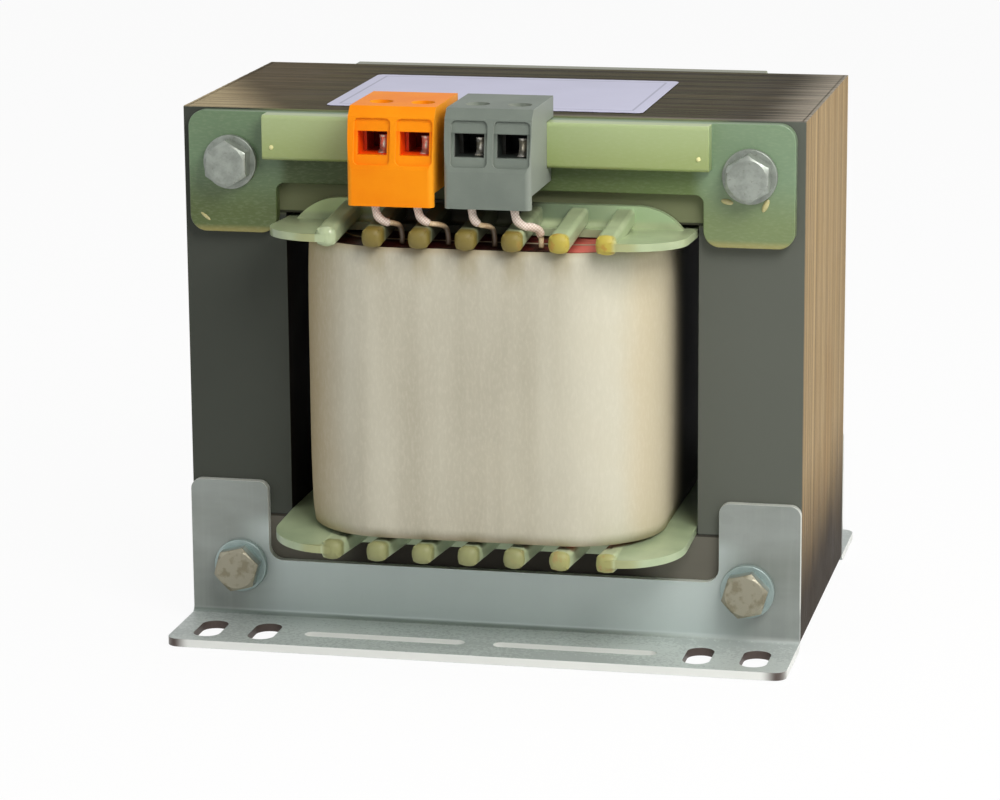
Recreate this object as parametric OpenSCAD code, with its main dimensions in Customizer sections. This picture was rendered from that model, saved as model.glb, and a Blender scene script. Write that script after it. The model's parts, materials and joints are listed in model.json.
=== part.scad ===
// Chassis-mounting control transformer on an EI laminated core, with two clip-on terminal blocks.
// X runs to the right, Y away from the terminal side, Z up; the feet stand on Z = 0.

/* [Core] */
// Width of the lamination stack
core_w = 150; // [138:1:165]
// Height of the lamination stack
core_h = 125; // [115:1:140]
// Depth of the lamination stack, front sheet to back sheet
core_depth = 78; // [60:1:100]
// Width of the centre leg that carries the bobbin
tongue_w = 50; // [42:1:54]
// Width of each outer leg
side_leg_w = 25; // [21:1:28]
// Height of the top and bottom yokes
yoke_h = 25; // [21:1:28]
// Distance of each bolt hole from the core's side, top and bottom edges
hole_inset = 12.5; // [11:0.5:13.5]

/* [Brackets] */
// Thickness of the bracket sheet
sheet_t = 2; // [1:0.5:3]
// Inside radius of the bracket's bend
bend_r = 1.5; // [0.5:0.5:3]
// Reach of each foot from the core's face
foot_reach = 26; // [24:1:28]
// Height of the low strip above the mounting surface
strip_h = 16; // [12:1:20]
// Height of the ears above the mounting surface
ear_h = 35.6; // [28:0.2:45]
// Width of each ear
ear_w = 19.5; // [19:0.5:28]
// Corner radius at the top of each ear
ear_corner_r = 2.5; // [1:0.5:5]
// Fillet radius between ear and strip
ear_fillet_r = 3.5; // [1:0.5:6]
// Radius of each foot's free corners
foot_corner_r = 3; // [1:0.5:5]
// Width of the oval fixing slots
slot_w = 6.5; // [4:0.5:8]
// Length of the oval fixing slots
slot_l = 13.3; // [9:0.1:16]
// Distance of the slots' centres from the core's face
slot_reach = 16; // [14:0.5:18]
// Distance of the outer slots' centres from the bracket's ends
slot_end_inset = 8.5; // [6:0.5:10]
// Distance between the two oval slots of a pair
slot_pitch = 13.5; // [10:0.5:15]
// Width of the long slots
long_slot_w = 4; // [2:0.5:6]
// Distance of the long slots' ends from the oval slots beside them
long_slot_gap = 6.75; // [4:0.25:20]
// Web left between the two long slots
long_slot_web = 7; // [4:0.5:12]

/* [Bobbin] */
// Clearance between the bobbin and the core
bobbin_clearance = 0.3; // [0.2:0.1:0.6]
// Wall thickness of the bobbin's tube
tube_wall = 1.7; // [1:0.1:2.5]
// Gap between the lower flange and the yoke that it stands on
bobbin_seat_gap = 0.1; // [0.05:0.05:0.5]
// Gap between the upper flange and the top yoke
bobbin_top_gap = 1; // [0.2:0.1:2]
// Thickness of each flange
flange_t = 1.8; // [1.2:0.1:3]
// Height that the flanges' front and rear edges stand away from the coil
flange_flare = 1.3; // [0.2:0.1:2.5]
// Reach of each flange from the core's face
flange_reach = 28.5; // [27:0.5:32]
// Corner radius of the flanges
flange_corner_r = 15; // [8:1:16]
// Height of the upstands above the window's edge
upstand_h = 4.4; // [3:0.2:6]
// Thickness of the upstands
upstand_t = 2; // [1:0.5:3]
// Corner radius of the upstands
upstand_corner_r = 14; // [6:1:18]
// Fillet radius between upstand and flange
upstand_fillet_r = 1.5; // [0.5:0.5:2.5]
// Width of the finger ribs
finger_w = 4.6; // [3:0.2:5]
// Height of the finger ribs
finger_h = 4.2; // [3:0.2:5]
// Radius of the finger ribs' long edges
finger_edge_r = 1.1; // [0.4:0.1:1.4]
// Bevel round the finger ribs' ends
finger_bevel = 1.2; // [0.4:0.1:1.4]
// Distance of the fingers' ends behind the flange's edge
finger_inset = 0.3; // [0.2:0.1:3]
// Distance between neighbouring finger ribs
finger_pitch = 11; // [9:0.5:12]
// Number of free fingers between the two lobes of a flange
finger_count = 5; // [3:2:5]
// Height that a finger falls from the upstand to its tip
finger_fall = 2.4; // [0.5:0.1:2.6]
// Height of a finger's tip above the flange's underside
finger_lift = 0.2; // [0.1:0.1:0.5]
// Depth of flange left behind the open bay of the fingers
bay_root = 6; // [4:0.5:10]

/* [Coil] */
// Reach of the coil from the core's face
coil_reach = 24; // [18:0.5:25]
// Gap between the coil and the outer legs
coil_side_gap = 7; // [4.5:0.5:10]
// Corner radius of the finished coil
coil_corner_r = 22; // [10:1:24]
// Thickness of the outer wrap
wrap_t = 1; // [0.5:0.1:2]
// Thickness of the barrier between the windings
barrier_t = 0.8; // [0.4:0.1:2]
// Share of the copper's build that the primary fills
primary_share = 0.52; // [0.35:0.01:0.65]
// Clearance between neighbouring layers
layer_clearance = 0.15; // [0.05:0.05:0.3]
// Clearance between the coil's ends and the flanges
coil_end_clearance = 0.3; // [0.1:0.1:1]

/* [Terminal carriers] */
// Thickness of the carrier's plates and web
carrier_t = 3; // [2:0.5:5]
// Distance of the plates from the core's sides
carrier_side_inset = 2; // [1:0.5:3]
// Distance of the carrier from the core's top
carrier_top_inset = 0.4; // [0.2:0.1:1]
// Width of each end plate
carrier_plate_w = 21.5; // [20:0.5:23]
// Height of each end plate
carrier_plate_h = 29.2; // [26:0.2:34]
// Corner radius of the end plates
carrier_corner_r = 4; // [2:0.5:6]
// Fillet radius between plate and web
carrier_fillet_r = 2; // [1:0.5:3]
// Height of the web between the plates
web_h = 17; // [15:0.5:19]
// Distance of the clip bar's ends from the bolts' middles
bar_end_gap = 9; // [8:0.5:14]
// Height of the clip bar
bar_h = 10.8; // [8:0.2:13]
// Distance that the clip bar stands out of the web
bar_t = 5; // [3:0.5:7]
// Corner radius of the clip bar's long edges
bar_edge_r = 1; // [0.5:0.1:1.5]

/* [Fasteners] */
// Diameter of the clamping bolts
bolt_d = 6; // [5:0.5:6.5]
// Radial clearance of the bolts in their holes
bolt_clearance = 0.5; // [0.2:0.1:0.8]
// Width across the flats of bolt heads and nuts
hex_af = 10; // [9:0.5:11]
// Height of the bolt heads
bolt_head_h = 4.2; // [3:0.2:5]
// Height of the nuts
nut_h = 5; // [4:0.2:6]
// Length of bolt that stands out of each nut
bolt_tail = 3; // [1:0.5:6]
// Outside diameter of the washers
washer_d = 13; // [12:0.5:15]
// Thickness of the washers
washer_t = 1.6; // [1:0.1:2]
// Radial clearance of the washers round their bolts
washer_clearance = 0.2; // [0.1:0.1:0.4]
// Radial clearance in the nuts, in place of the thread
thread_clearance = 0.1; // [0.05:0.05:0.2]
// Height of the chamfer on heads and nuts
hex_chamfer = 0.8; // [0.4:0.1:1.2]
// Turn of the upper bolts' heads, in degrees
upper_head_turn = 30; // [0:1:59]
// Turn of the lower bolts' heads, in degrees
lower_head_turn = 14; // [0:1:59]

/* [Terminal blocks] */
// Distance between the two poles of a block
pole_pitch = 10; // [9:0.2:11]
// Width of each block
housing_w = 20.4; // [20:0.2:22]
// Gap between the two blocks
block_gap = 2.5; // [0.5:0.1:6]
// Place of the pair's middle to the right of the core's middle
block_offset = -6.2; // [-20:0.2:20]
// Reach of the blocks' front from the core's face
housing_reach = 27; // [25:0.5:28.5]
// Height of the blocks above the core's top
housing_rise = 4.8; // [4:0.2:8]
// Height of the blocks' front
housing_h = 22.8; // [22:0.2:26]
// Distance that the upper front leans back
housing_lean = 2; // [0.5:0.1:3]
// Height of the panels' lower edge above the start of the lean
lean_margin = 1; // [0.5:0.1:2]
// Bevel along the top front edge
housing_bevel = 2.2; // [0.8:0.2:2.4]
// Radius of the upright front edges
housing_corner_r = 1.4; // [0.4:0.1:2]
// Place of a block's poles to the right of its middle
pole_shift = 0.6; // [0:0.1:0.7]
// Distance that the blocks' back stays in front of the core's face
housing_back_gap = 0.4; // [0.2:0.1:1]
// Thickness of the skirt that hangs below the front
skirt_t = 1.8; // [1.2:0.1:3]
// Height of the skirt
skirt_h = 3.2; // [2:0.2:5]
// Clearance between a block and the bar that it clips on
clip_clearance = 0.15; // [0.1:0.05:0.3]
// Width of a wire entry
entry_w = 7; // [5.5:0.1:7.5]
// Height of a wire entry
entry_h = 5.4; // [4.6:0.1:6]
// Height of a wire entry's sill above the block's lowest edge
entry_sill = 11.8; // [11:0.2:13]
// Depth of a wire entry, to the clamp
entry_depth = 7.4; // [6:0.2:9]
// Margin of the shallow panel beside an entry
panel_margin = 0.8; // [0.4:0.1:1.2]
// Margin of the panel below an entry
panel_drop = 2.2; // [1.4:0.1:3]
// Corner radius of the panel
panel_corner_r = 1.2; // [0.4:0.1:2]
// Depth of the shallow panel
panel_depth = 0.7; // [0.3:0.1:1.2]
// Height of a panel above its entry
panel_rise = 3.2; // [1:0.2:3.4]

/* [Clamps] */
// Width of a clamp cage
cage_w = 7.4; // [6:0.1:7.8]
// Depth of a clamp cage
cage_depth = 7; // [6:0.2:8]
// Height of a clamp cage
cage_h = 8.4; // [7.4:0.2:8.6]
// Wall of a clamp cage
cage_wall = 1; // [0.6:0.1:1.4]
// Clearance of a cage in its pocket
cage_clearance = 0.15; // [0.1:0.05:0.3]
// Diameter of the screw's shank
screw_d = 3; // [2.5:0.1:3.5]
// Diameter of the screw's head
screw_head_d = 5; // [4:0.1:5.2]
// Height of the screw's head
screw_head_h = 2; // [1.4:0.1:2.4]
// Width of the screwdriver slot
screw_slot_w = 0.8; // [0.5:0.1:1]
// Depth of the screwdriver slot
screw_slot_depth = 1; // [0.6:0.1:1.2]
// Radial clearance of the screw's head in its shaft
screw_clearance = 0.3; // [0.1:0.1:0.4]

/* [Leads] */
// Diameter of the sleeved leads
lead_d = 2.6; // [2:0.1:3]
// Radial clearance of a lead in its block
lead_clearance = 0.15; // [0.1:0.05:0.3]
// Depth that a lead reaches up into its block
lead_seat = 3; // [2:0.5:4]
// Distance of the leads behind the skirt
lead_set_back = 1.7; // [1.6:0.1:4]
// Distance of the leads' lower ends behind the coil's front
lead_end_inset = 4; // [3:0.5:10]

/* [Hidden] */
$fn = 64;
// Overrun of every cut past the face that it opens
over = 1;

// Core places
core_front = -core_depth / 2;
core_base = sheet_t;
core_top = core_base + core_h;
window_inner_x = tongue_w / 2;
window_outer_x = core_w / 2 - side_leg_w;
window_w = window_outer_x - window_inner_x;
window_bottom = core_base + yoke_h;
window_top = core_top - yoke_h;
window_h = window_top - window_bottom;
bolt_hole_d = bolt_d + 2 * bolt_clearance;
bolt_x = core_w / 2 - hole_inset;
bolt_low_z = core_base + hole_inset;
bolt_high_z = core_top - hole_inset;

// Bracket places
foot_front = core_front - foot_reach;
bend_outer_r = bend_r + sheet_t;
slot_y = core_front - slot_reach;
outer_slot_x = core_w / 2 - slot_end_inset;
inner_slot_x = outer_slot_x - slot_pitch;
long_slot_l = inner_slot_x - slot_w / 2 - long_slot_gap - long_slot_web / 2;
long_slot_x = (long_slot_web + long_slot_l) / 2;

// Bobbin places
tube_half_x = tongue_w / 2 + bobbin_clearance + tube_wall;
tube_half_y = core_depth / 2 + bobbin_clearance + tube_wall;
flange_half_x = window_outer_x - bobbin_clearance;
flange_half_y = core_depth / 2 + flange_reach;
bobbin_mid = (window_bottom + bobbin_seat_gap + window_top - bobbin_top_gap) / 2;
flange_top = window_top - bobbin_top_gap;
flange_underside = flange_top - flange_t;
flange_mid_z = flange_underside + flange_t / 2;
upstand_back = core_front - bobbin_clearance;
upstand_front = upstand_back - upstand_t;
upstand_top = window_top + upstand_h;
finger_places = finger_count + 1;
bay_half_w = finger_pitch * finger_places / 2;
finger_root_y = upstand_back - upstand_t / 2;
finger_tip_y = finger_inset - flange_half_y;
finger_tip_z = flange_underside + finger_lift + finger_h / 2;
finger_root_z = finger_tip_z + finger_fall;
finger_run = finger_root_y - finger_tip_y;
finger_l = norm([finger_run, finger_fall]);
finger_slope = atan2(finger_fall, finger_run);

// Coil places; a depth of 0 is the tube's outer wall and 1 the coil's outside
coil_half_x = window_outer_x - coil_side_gap;
coil_half_y = core_depth / 2 + coil_reach;
coil_build = coil_half_x - tube_half_x;
coil_top = flange_underside - coil_end_clearance;
coil_bottom = 2 * bobbin_mid - coil_top;
copper_build = coil_build - wrap_t - barrier_t - 4 * layer_clearance;
primary_from = layer_clearance;
primary_to = primary_from + copper_build * primary_share;
barrier_from = primary_to + layer_clearance;
barrier_to = barrier_from + barrier_t;
secondary_from = barrier_to + layer_clearance;
secondary_to = secondary_from + copper_build * (1 - primary_share);
wrap_from = secondary_to + layer_clearance;

// Carrier places
carrier_front = core_front - carrier_t;
carrier_top = core_top - carrier_top_inset;
carrier_half_w = core_w / 2 - carrier_side_inset;
plate_mid_x = carrier_half_w - carrier_plate_w / 2;
plate_inner_x = carrier_half_w - carrier_plate_w;
web_bottom = carrier_top - web_h;
bar_front = carrier_front - bar_t;
bar_bottom = carrier_top - bar_h;
bar_l = 2 * (bolt_x - bar_end_gap);

// Fastener places
hex_d = hex_af / cos(30);
upper_stack_t = carrier_t;
lower_stack_t = sheet_t;

// Terminal block places
block_pitch = housing_w + block_gap;
orange_x = block_offset - block_pitch / 2;
grey_x = block_offset + block_pitch / 2;
housing_front = core_front - housing_reach;
housing_back = core_front - housing_back_gap;
housing_top = core_top + housing_rise;
skirt_bottom = housing_top - housing_h;
housing_floor = skirt_bottom + skirt_h;
entry_bottom = skirt_bottom + entry_sill;
entry_top = entry_bottom + entry_h;
panel_bottom = entry_bottom - panel_drop;
lean_bottom = panel_bottom - lean_margin;
lean_front = housing_front + housing_lean;
lean_angle = atan2(housing_lean, housing_top - housing_bevel - lean_bottom);
pocket_front = housing_front + entry_depth;
cage_front = pocket_front + cage_clearance;
cage_mid_y = cage_front + cage_depth / 2;
cage_bottom = entry_bottom - cage_wall;
cage_top = cage_bottom + cage_h;
pocket_top = cage_top + cage_clearance;
screw_head_bottom = pocket_top;
shaft_d = screw_head_d + 2 * screw_clearance;

// Lead places
lead_y = housing_front + skirt_t + lead_set_back;
lead_end_y = lead_end_inset - coil_half_y;
lead_top = housing_floor + lead_seat;
lead_end_z = coil_top + coil_end_clearance;
lead_sides = 8;
lead_steps = 14;
// Heights of the two pulls on a lead's curve, as shares of the lead's fall
lead_drop_share = 0.95;
lead_rise_share = 0.7;

// Rectangle with round corners, about its middle
module rounded_rect(w, h, r) {
    square([w - 2 * r, h], center = true);
    square([w, h - 2 * r], center = true);
    for (sx = [-1, 1], sy = [-1, 1])
        translate([sx * (w / 2 - r), sy * (h / 2 - r)]) circle(r);
}

// Oval of length l along X and width w
module oval(l, w) {
    square([l - w, w], center = true);
    for (s = [-1, 1]) translate([s * (l - w) / 2, 0]) circle(d = w);
}

// Filling of a right-angled corner, round on its open side
module corner_fillet(r) {
    difference() {
        square(r);
        translate([r, r]) circle(r);
    }
}

// Upright plate: an outline in X and Z, from y_back forward by t
module upright(y_back, t) {
    translate([0, y_back, 0]) rotate([90, 0, 0]) linear_extrude(t) children();
}

// Round bar along Y, from y_back forward by l
module cross_bar(x, z, d, y_back, l) {
    translate([x, y_back, z]) rotate([90, 0, 0]) cylinder(d = d, h = l);
}

module rear() {
    mirror([0, 1, 0]) children();
}

module both_faces() {
    children();
    rear() children();
}

module both_sides() {
    children();
    mirror([1, 0, 0]) children();
}

// Holes for the bolts at one height, through the whole core and what lies on it
module bolt_holes(z) {
    for (s = [-1, 1])
        cross_bar(s * bolt_x, z, bolt_hole_d, core_depth, 2 * core_depth);
}

// Core
module core_e_stack() {
    color("#5d605a") difference() {
        upright(core_depth / 2, core_depth) difference() {
            translate([-core_w / 2, window_bottom]) square([core_w, core_top - window_bottom]);
            both_sides() translate([window_inner_x, window_bottom - over])
                square([window_w, window_h + over]);
        }
        bolt_holes(bolt_high_z);
    }
}

module core_i_stack() {
    color("#565952") difference() {
        upright(core_depth / 2, core_depth)
            translate([-core_w / 2, core_base]) square([core_w, yoke_h]);
        bolt_holes(bolt_low_z);
    }
}

// Bobbin: the flanges sit on the ends of the tube, and all three slide over the centre leg
module tongue_opening() {
    square([2 * (tube_half_x - tube_wall), 2 * (tube_half_y - tube_wall)], center = true);
}

module bobbin_tube() {
    color("#a9b58a") translate([0, 0, 2 * bobbin_mid - flange_underside])
        linear_extrude(2 * (flange_underside - bobbin_mid)) difference() {
            square([2 * tube_half_x, 2 * tube_half_y], center = true);
            tongue_opening();
        }
}

// Outline along a rib that bevels the end of a section s across
module finger_end(s) {
    reach = s / 2 + over;
    shoulder = finger_l - finger_bevel - over;
    polygon([[-reach, -over], [reach, -over], [reach, shoulder], [0, shoulder + reach], [-reach, shoulder]]);
}

// One rib with round edges and a bevelled end, from its root in the upstand to the flange's edge
module finger(place) {
    translate([place * finger_pitch, finger_root_y, finger_root_z]) rotate([90 + finger_slope, 0, 0])
        intersection() {
            linear_extrude(finger_l) rounded_rect(finger_w, finger_h, finger_edge_r);
            rotate([90, 0, 0]) linear_extrude(2 * finger_h, center = true) finger_end(finger_w);
            rotate([90, 0, 90]) linear_extrude(2 * finger_w, center = true) finger_end(finger_h);
        }
}

// Upright wall in front of the yoke, with a fillet at its root
module upstand() {
    upright(upstand_back, upstand_t) intersection() {
        translate([0, upstand_top - window_h / 2])
            rounded_rect(2 * flange_half_x, window_h, upstand_corner_r);
        translate([-flange_half_x, flange_mid_z])
            square([2 * flange_half_x, upstand_top - flange_mid_z]);
    }
    translate([flange_corner_r - flange_half_x, upstand_front, flange_top]) rotate([90, 0, 90])
        mirror([1, 0]) linear_extrude(2 * (flange_half_x - flange_corner_r))
            corner_fillet(upstand_fillet_r);
}

// Plan of a flange: round lobes, with an open bay between them at the front and rear
module flange_plan() {
    difference() {
        rounded_rect(2 * flange_half_x, 2 * flange_half_y, flange_corner_r);
        tongue_opening();
        for (s = [-1, 1]) translate([0, s * (core_depth / 2 + bay_root + flange_reach / 2)])
            square([2 * bay_half_w, flange_reach], center = true);
    }
}

// Section of a flange in Y and Z: flat through the window, leaning away from the coil outside it
module flange_section() {
    bend_y = -finger_root_y;
    edge_y = flange_half_y + over;
    edge_lift = flange_flare * (edge_y - bend_y) / (flange_half_y - bend_y);
    polygon([
        [-edge_y, flange_underside + edge_lift],
        [-bend_y, flange_underside],
        [bend_y, flange_underside],
        [edge_y, flange_underside + edge_lift],
        [edge_y, flange_top + edge_lift],
        [bend_y, flange_top],
        [-bend_y, flange_top],
        [-edge_y, flange_top + edge_lift]
    ]);
}

module flange_plate() {
    intersection() {
        translate([-core_w / 2, 0, 0]) rotate([90, 0, 90]) linear_extrude(core_w) flange_section();
        translate([0, 0, window_bottom]) linear_extrude(core_h) flange_plan();
    }
}

module flange() {
    flange_plate();
    both_faces() {
        upstand();
        for (i = [0 : finger_places]) finger(i - finger_places / 2);
    }
}

module upper_flange() {
    color("#b3c299") flange();
}

module lower_flange() {
    color("#b3c299") translate([0, 0, 2 * bobbin_mid]) mirror([0, 0, 1]) flange();
}

// Coil outline at a depth of build over the tube
module coil_outline(build) {
    depth = build / coil_build;
    half_x = tube_half_x + depth * (coil_half_x - tube_half_x);
    half_y = tube_half_y + depth * (coil_half_y - tube_half_y);
    rounded_rect(2 * half_x, 2 * half_y, tube_wall + depth * (coil_corner_r - tube_wall));
}

module coil_layer(from, to) {
    translate([0, 0, coil_bottom]) linear_extrude(coil_top - coil_bottom) difference() {
        coil_outline(to);
        coil_outline(from);
    }
}

module primary_winding() {
    color("#7c3a22") coil_layer(primary_from, primary_to);
}

module winding_barrier() {
    color("#d8cfa6") coil_layer(barrier_from, barrier_to);
}

module secondary_winding() {
    color("#94452a") coil_layer(secondary_from, secondary_to);
}

module outer_wrap() {
    color("#ddd6c3") coil_layer(wrap_from, coil_build);
}

// Terminal carriers
module carrier_outline() {
    translate([-carrier_half_w, web_bottom]) square([2 * carrier_half_w, web_h - carrier_corner_r]);
    translate([carrier_corner_r - carrier_half_w, web_bottom])
        square([2 * (carrier_half_w - carrier_corner_r), web_h]);
    both_sides() {
        translate([plate_mid_x, carrier_top - carrier_plate_h / 2])
            rounded_rect(carrier_plate_w, carrier_plate_h, carrier_corner_r);
        translate([plate_inner_x, web_bottom]) rotate(180) corner_fillet(carrier_fillet_r);
    }
}

module clip_bar() {
    translate([-bar_l / 2, carrier_front, carrier_top]) rotate([90, 0, 90]) linear_extrude(bar_l) {
        translate([bar_edge_r - bar_t, -bar_h]) square([bar_t - bar_edge_r, bar_h]);
        translate([-bar_t, bar_edge_r - bar_h]) square([bar_edge_r, bar_h - 2 * bar_edge_r]);
        for (z = [-bar_edge_r, bar_edge_r - bar_h]) translate([bar_edge_r - bar_t, z]) circle(bar_edge_r);
    }
}

module carrier() {
    difference() {
        union() {
            upright(core_front, carrier_t) carrier_outline();
            clip_bar();
        }
        bolt_holes(bolt_high_z);
    }
}

module front_carrier() {
    color("#8fa57c") carrier();
}

module rear_carrier() {
    color("#8fa57c") rear() carrier();
}

// Mounting brackets
module bracket_wall() {
    upright(core_front, sheet_t) {
        translate([-core_w / 2, bend_outer_r]) square([core_w, strip_h - bend_outer_r]);
        both_sides() {
            translate([core_w / 2 - ear_w, strip_h - over])
                square([ear_w, ear_h - ear_corner_r - strip_h + over]);
            translate([core_w / 2 - ear_w / 2, ear_h - ear_w / 2]) rounded_rect(ear_w, ear_w, ear_corner_r);
            translate([core_w / 2 - ear_w, strip_h]) mirror([1, 0]) corner_fillet(ear_fillet_r);
        }
    }
}

module bracket_bend() {
    translate([-core_w / 2, core_front - bend_outer_r, bend_outer_r]) rotate([90, 0, 90])
        linear_extrude(core_w) intersection() {
            difference() {
                circle(bend_outer_r);
                circle(bend_r);
            }
            translate([0, -bend_outer_r]) square(bend_outer_r);
        }
}

module bracket_foot() {
    foot_w = foot_reach - bend_outer_r;
    linear_extrude(sheet_t) difference() {
        union() {
            translate([-core_w / 2, foot_front + foot_corner_r]) square([core_w, foot_w - foot_corner_r]);
            translate([0, foot_front + foot_w / 2]) rounded_rect(core_w, foot_w, foot_corner_r);
        }
        both_sides() {
            for (x = [inner_slot_x, outer_slot_x]) translate([x, slot_y]) rotate(90) oval(slot_l, slot_w);
            translate([long_slot_x, slot_y]) oval(long_slot_l, long_slot_w);
        }
    }
}

module bracket() {
    difference() {
        union() {
            bracket_wall();
            bracket_bend();
            bracket_foot();
        }
        bolt_holes(bolt_low_z);
    }
}

module front_bracket() {
    color("#b4b9bd") bracket();
}

module rear_bracket() {
    color("#b4b9bd") rear() bracket();
}

// Hexagon of height h along Z, chamfered at its top
module hex_block(h) {
    intersection() {
        cylinder(d = hex_d, h = h, $fn = 6);
        union() {
            cylinder(d = hex_d + hex_chamfer, h = h - hex_chamfer);
            translate([0, 0, h - hex_chamfer])
                cylinder(d1 = hex_d + hex_chamfer, d2 = hex_af - hex_chamfer, h = hex_chamfer);
        }
    }
}

// Bolt through the core; stack_t is the thickness of what it clamps on each face
module bolt(side, z, stack_t, turn) {
    head_y = core_front - stack_t - washer_t;
    shank_l = core_depth + 2 * stack_t + 2 * washer_t + nut_h + bolt_tail;
    color("#c3c6c6") {
        translate([side * bolt_x, head_y, z]) rotate([90, 0, 0]) rotate(turn) hex_block(bolt_head_h);
        cross_bar(side * bolt_x, z, bolt_d, head_y + shank_l, shank_l);
    }
}

module upper_left_bolt() {
    bolt(-1, bolt_high_z, upper_stack_t, upper_head_turn);
}

module upper_right_bolt() {
    bolt(1, bolt_high_z, upper_stack_t, upper_head_turn);
}

module lower_left_bolt() {
    bolt(-1, bolt_low_z, lower_stack_t, lower_head_turn);
}

module lower_right_bolt() {
    bolt(1, bolt_low_z, lower_stack_t, lower_head_turn);
}

module washer(side, z, stack_t) {
    y_back = core_front - stack_t;
    difference() {
        cross_bar(side * bolt_x, z, washer_d, y_back, washer_t);
        cross_bar(side * bolt_x, z, bolt_d + 2 * washer_clearance, y_back + over, washer_t + 2 * over);
    }
}

module washers() {
    for (side = [-1, 1]) {
        washer(side, bolt_high_z, upper_stack_t);
        washer(side, bolt_low_z, lower_stack_t);
    }
}

module front_washers() {
    color("#ced0d0") washers();
}

module rear_washers() {
    color("#ced0d0") rear() washers();
}

module nut(side, z, stack_t) {
    color("#bfc2c2") translate([side * bolt_x, core_depth / 2 + stack_t + washer_t, z]) rotate([-90, 0, 0])
        difference() {
            hex_block(nut_h);
            translate([0, 0, -over]) cylinder(d = bolt_d + 2 * thread_clearance, h = nut_h + 2 * over);
        }
}

module upper_left_nut() {
    nut(-1, bolt_high_z, upper_stack_t);
}

module upper_right_nut() {
    nut(1, bolt_high_z, upper_stack_t);
}

module lower_left_nut() {
    nut(-1, bolt_low_z, lower_stack_t);
}

module lower_right_nut() {
    nut(1, bolt_low_z, lower_stack_t);
}

// Terminal blocks: side outline in Y and Z, with a notch at the back that grips the clip bar
module housing_outline() {
    grip_front = bar_front - clip_clearance;
    grip_back = carrier_front - clip_clearance;
    grip_top = carrier_top + clip_clearance;
    grip_bottom = bar_bottom - clip_clearance;
    polygon([
        [housing_front, skirt_bottom],
        [housing_front + skirt_t, skirt_bottom],
        [housing_front + skirt_t, housing_floor],
        [grip_back, housing_floor],
        [grip_back, grip_bottom],
        [grip_front, grip_bottom],
        [grip_front, grip_top],
        [housing_back, grip_top],
        [housing_back, housing_top],
        [lean_front + housing_bevel, housing_top],
        [lean_front, housing_top - housing_bevel],
        [housing_front, lean_bottom]
    ]);
}

// Plan of a block, round at its front edges and run out past its back
module housing_plan() {
    depth = housing_back - housing_front + over;
    translate([0, housing_front + depth / 2]) rounded_rect(housing_w, depth, housing_corner_r);
    translate([-housing_w / 2, housing_front + housing_corner_r])
        square([housing_w, depth - housing_corner_r]);
}

// Wire entry, clamp pocket, screw shaft and lead hole of one pole
module pole_cuts() {
    panel_w = entry_w + 2 * panel_margin;
    panel_h = panel_drop + entry_h + panel_rise;
    pocket_w = cage_w + 2 * cage_clearance;
    translate([0, housing_front, lean_bottom]) rotate([-lean_angle, 0, 0])
        upright(panel_depth, panel_depth + over)
            translate([0, lean_margin + panel_h / 2]) rounded_rect(panel_w, panel_h, panel_corner_r);
    translate([-entry_w / 2, housing_front - over, entry_bottom])
        cube([entry_w, over + entry_depth + cage_depth / 2, entry_h]);
    translate([-pocket_w / 2, pocket_front, cage_bottom - cage_clearance])
        cube([pocket_w, cage_depth + 2 * cage_clearance, cage_h + 2 * cage_clearance]);
    translate([0, cage_mid_y, cage_top]) cylinder(d = shaft_d, h = housing_top - cage_top + over);
    translate([0, lead_y, housing_floor - over])
        cylinder(d = lead_d + 2 * lead_clearance, h = lead_seat + clip_clearance + over);
}

// Place of the left or right pole of the block with its middle at x
function pole_x(x, side) = x + pole_shift + side * pole_pitch / 2;

module at_poles(x) {
    for (side = [-1, 1]) translate([pole_x(x, side), 0, 0]) children();
}

module housing(x) {
    difference() {
        intersection() {
            translate([x - housing_w / 2 - over, 0, 0]) rotate([90, 0, 90])
                linear_extrude(housing_w + 2 * over) housing_outline();
            translate([x, 0, skirt_bottom - over]) linear_extrude(housing_h + 2 * over) housing_plan();
        }
        at_poles(x) pole_cuts();
    }
}

module orange_block() {
    color("#f79a1c") housing(orange_x);
}

module grey_block() {
    color("#7f8a84") housing(grey_x);
}

// Box clamp, open to the wire entry and bored for its screw
module clamp_cage() {
    difference() {
        translate([-cage_w / 2, cage_front, cage_bottom]) cube([cage_w, cage_depth, cage_h]);
        translate([cage_wall - cage_w / 2, cage_front - over, cage_bottom + cage_wall])
            cube([cage_w - 2 * cage_wall, cage_depth + 2 * over, cage_h - 2 * cage_wall]);
        translate([0, cage_mid_y, cage_bottom + cage_h / 2])
            cylinder(d = screw_d + 2 * thread_clearance, h = cage_h);
    }
}

module orange_clamps() {
    color("#c9bb8e") at_poles(orange_x) clamp_cage();
}

module grey_clamps() {
    color("#c9bb8e") at_poles(grey_x) clamp_cage();
}

module clamp_screw() {
    shank_l = cage_wall + cage_clearance + cage_wall;
    slot_floor = screw_head_bottom + screw_head_h - screw_slot_depth;
    difference() {
        translate([0, cage_mid_y, screw_head_bottom]) cylinder(d = screw_head_d, h = screw_head_h);
        translate([-screw_head_d, cage_mid_y - screw_slot_w / 2, slot_floor])
            cube([2 * screw_head_d, screw_slot_w, screw_slot_depth + over]);
    }
    translate([0, cage_mid_y, screw_head_bottom - shank_l]) cylinder(d = screw_d, h = shank_l);
}

module orange_screws() {
    color("#c6c8c8") at_poles(orange_x) clamp_screw();
}

module grey_screws() {
    color("#c6c8c8") at_poles(grey_x) clamp_screw();
}

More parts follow.
